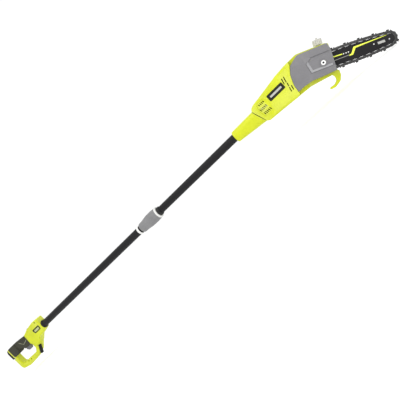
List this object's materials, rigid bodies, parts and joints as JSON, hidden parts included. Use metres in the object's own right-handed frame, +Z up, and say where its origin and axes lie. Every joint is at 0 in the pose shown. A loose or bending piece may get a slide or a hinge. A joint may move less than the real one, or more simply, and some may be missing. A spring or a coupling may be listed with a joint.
{
  "type": "telescoping pole saw",
  "caption": "Battery pole saw: D-shaped handle with trigger, twist-locked telescoping pole, motor head with chain cover, guide bar and saw chain.",
  "frame": {"origin": "where the pole axis meets the flat rear face of the battery pack, at the butt of the handle", "axes": "+X along the pole from the butt to the saw head, +Z up with the hand opening and the limb hook below, +Y away from the chain cover side"},
  "size_m": [2.0883, 0.0748, 0.1798],
  "materials": {
    "lime_plastic": "fine spark texture, satin",
    "grip_rubber": "moulded soft grip",
    "trigger_plastic": "satin",
    "black_plastic": "satin",
    "label_film": "printed film, no text",
    "screw_steel": "blackened",
    "spring_steel": "drawn wire",
    "cell_wrap": "shrink wrap",
    "contact_brass": "stamped",
    "tube_aluminium": "black anodised",
    "collar_plastic": "satin",
    "pale_plastic": "satin",
    "cover_plastic": "fine texture",
    "bolt_steel": "black oxide",
    "cap_clear": "milky",
    "tank_plastic": "milky",
    "machined_steel": "machined",
    "magnet_black": "sintered",
    "winding_copper": "wound core, stands in for copper and laminations",
    "case_aluminium": "die cast",
    "bar_steel": "dark painted bar",
    "chain_steel": "oiled"
  },
  "bodies": {
    "handle": {"handle_shell_right": "lime_plastic", "handle_shell_left": "lime_plastic", "grip_overmould": "grip_rubber", "handle_label": "label_film", "handle_screws": "screw_steel", "trigger_pin": "machined_steel", "trigger_spring": "spring_steel", "trigger_switch": "black_plastic", "lock_off_spring": "spring_steel", "terminal_block": "contact_brass", "lower_tube": "tube_aluminium", "socket_bushing": "black_plastic", "stop_ring": "pale_plastic", "collet_bushing": "black_plastic"},
    "trigger": {"trigger": "trigger_plastic"},
    "lock_off": {"lock_off_button": "black_plastic"},
    "battery_pack": {"battery_case": "black_plastic", "battery_cells": "cell_wrap"},
    "latch_right": {"battery_latch_right": "black_plastic"},
    "latch_left": {"battery_latch_left": "black_plastic"},
    "wrench": {"wrench": "black_plastic"},
    "collar": {"twist_collar": "collar_plastic", "collar_ring": "pale_plastic"},
    "head": {"upper_tube": "tube_aluminium", "neck_sleeve": "lime_plastic", "motor_housing_right": "lime_plastic", "motor_housing_left": "lime_plastic", "head_label": "label_film", "head_screws": "screw_steel", "chain_cover": "cover_plastic", "cover_bolt": "bolt_steel", "limb_hook": "lime_plastic", "oil_tank": "tank_plastic", "oil_pump": "black_plastic", "oil_tube": "tank_plastic", "tension_block": "machined_steel", "tension_screw": "machined_steel", "motor_can": "machined_steel", "motor_magnets": "magnet_black", "brush_carrier": "black_plastic", "motor_bearings": "machined_steel", "gear_case": "case_aluminium", "spindle_bearings": "machined_steel", "guide_bar_plates": "bar_steel", "guide_bar_core": "bar_steel", "chain_drive_links": "chain_steel", "chain_tie_straps": "chain_steel", "chain_cutters": "chain_steel", "chain_rivets": "chain_steel"},
    "oil_cap": {"oil_cap": "cap_clear"},
    "rotor": {"motor_shaft": "machined_steel", "armature": "winding_copper", "commutator": "contact_brass", "cooling_fan": "black_plastic", "bevel_pinion": "machined_steel"},
    "sprocket": {"sprocket_spindle": "machined_steel", "bevel_gear": "machined_steel", "drive_sprocket": "machined_steel"},
    "nose": {"nose_sprocket": "machined_steel"}
  },
  "joints": [
    {"name": "trigger_pull", "type": "hinge", "parent": "handle", "child": "trigger", "pos_m": [0.152, 0, -0.014], "axis": [0, 1, 0], "range_deg": [0, 12], "stiffness_Nm_per_rad": 0.4, "springref_deg": -8.59, "deforming": ["trigger_spring"]},
    {"name": "lock_off_press", "type": "slide", "parent": "handle", "child": "lock_off", "axis": [0, 0, -1], "range_m": [0, 0.0035], "stiffness_N_per_m": 600, "springref_m": -0.002, "deforming": ["lock_off_spring"]},
    {"name": "battery_slide", "type": "slide", "parent": "handle", "child": "battery_pack", "axis": [-1, 0, 0], "range_m": [0, 0.085]},
    {"name": "latch_right_press", "type": "slide", "parent": "battery_pack", "child": "latch_right", "axis": [0, 1, 0], "range_m": [0, 0.0015], "stiffness_N_per_m": 800, "springref_m": -0.0015},
    {"name": "latch_left_press", "type": "slide", "parent": "battery_pack", "child": "latch_left", "axis": [0, -1, 0], "range_m": [0, 0.0015], "stiffness_N_per_m": 800, "springref_m": -0.0015},
    {"name": "wrench_slide", "type": "slide", "parent": "handle", "child": "wrench", "axis": [-0.6293, 0, -0.7771], "range_m": [0, 0.03]},
    {"name": "collar_twist", "type": "hinge", "parent": "handle", "child": "collar", "pos_m": [1.094, 0, 0], "axis": [1, 0, 0], "range_deg": [0, 90]},
    {"name": "pole_slide", "type": "slide", "parent": "handle", "child": "head", "axis": [1, 0, 0], "range_m": [-0.385, 0]},
    {"name": "oil_cap_turn", "type": "hinge", "parent": "head", "child": "oil_cap", "pos_m": [1.924, 0.008, 0.0243], "axis": [0.4226, 0, 0.9063], "range_deg": [0, 180]},
    {"name": "rotor_spin", "type": "hinge", "parent": "head", "child": "rotor", "pos_m": [1.853, 0, 0], "axis": [1, 0, 0], "continuous": true},
    {"name": "sprocket_spin", "type": "hinge", "parent": "head", "child": "sprocket", "pos_m": [1.853, 0, 0], "axis": [0, 1, 0], "continuous": true},
    {"name": "nose_spin", "type": "hinge", "parent": "head", "child": "nose", "pos_m": [2.06592, 0, -0.10385], "axis": [0, 1, 0], "continuous": true}
  ],
  "couplings": [
    {"joint": "sprocket_spin", "follows": "rotor_spin", "ratio": 0.29412},
    {"joint": "nose_spin", "follows": "rotor_spin", "ratio": 0.29412}
  ]
}
